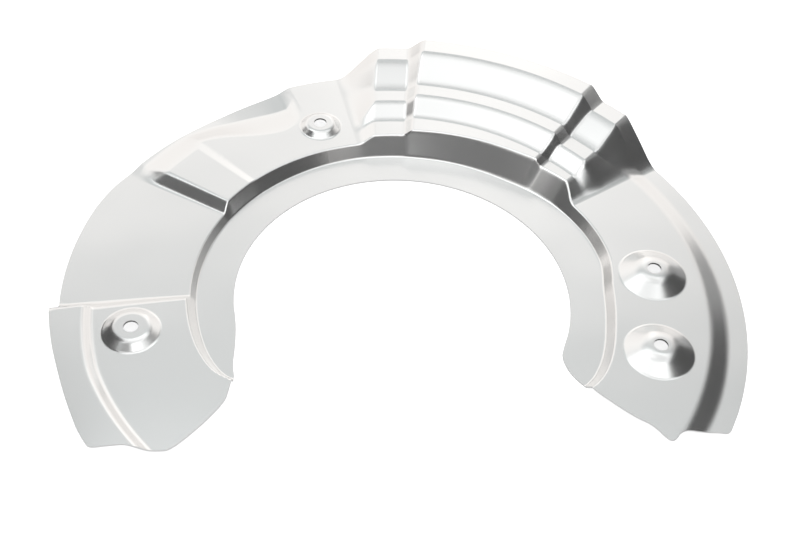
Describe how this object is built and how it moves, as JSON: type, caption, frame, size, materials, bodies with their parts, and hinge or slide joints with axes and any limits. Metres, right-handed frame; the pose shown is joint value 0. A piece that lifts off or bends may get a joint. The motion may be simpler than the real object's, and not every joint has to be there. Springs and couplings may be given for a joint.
{
  "type": "brake dust shield",
  "caption": "Open ring of pressed aluminium sheet with stepped plates, a raised block and bossed screw holes, shielding a brake disc from dust.",
  "frame": {"origin": "on the wheel axis, in the plane of the flat ring's underside", "axes": "+Z along the wheel axis to the side the bosses stand on, +Y towards the raised block, +X towards the plate with two bosses"},
  "size_m": [0.3408, 0.285, 0.0312],
  "materials": {
    "sheet": "satin bare sheet with fine rolling lines"
  },
  "bodies": {
    "root": {"dust_shield": "sheet"}
  },
  "joints": []
}
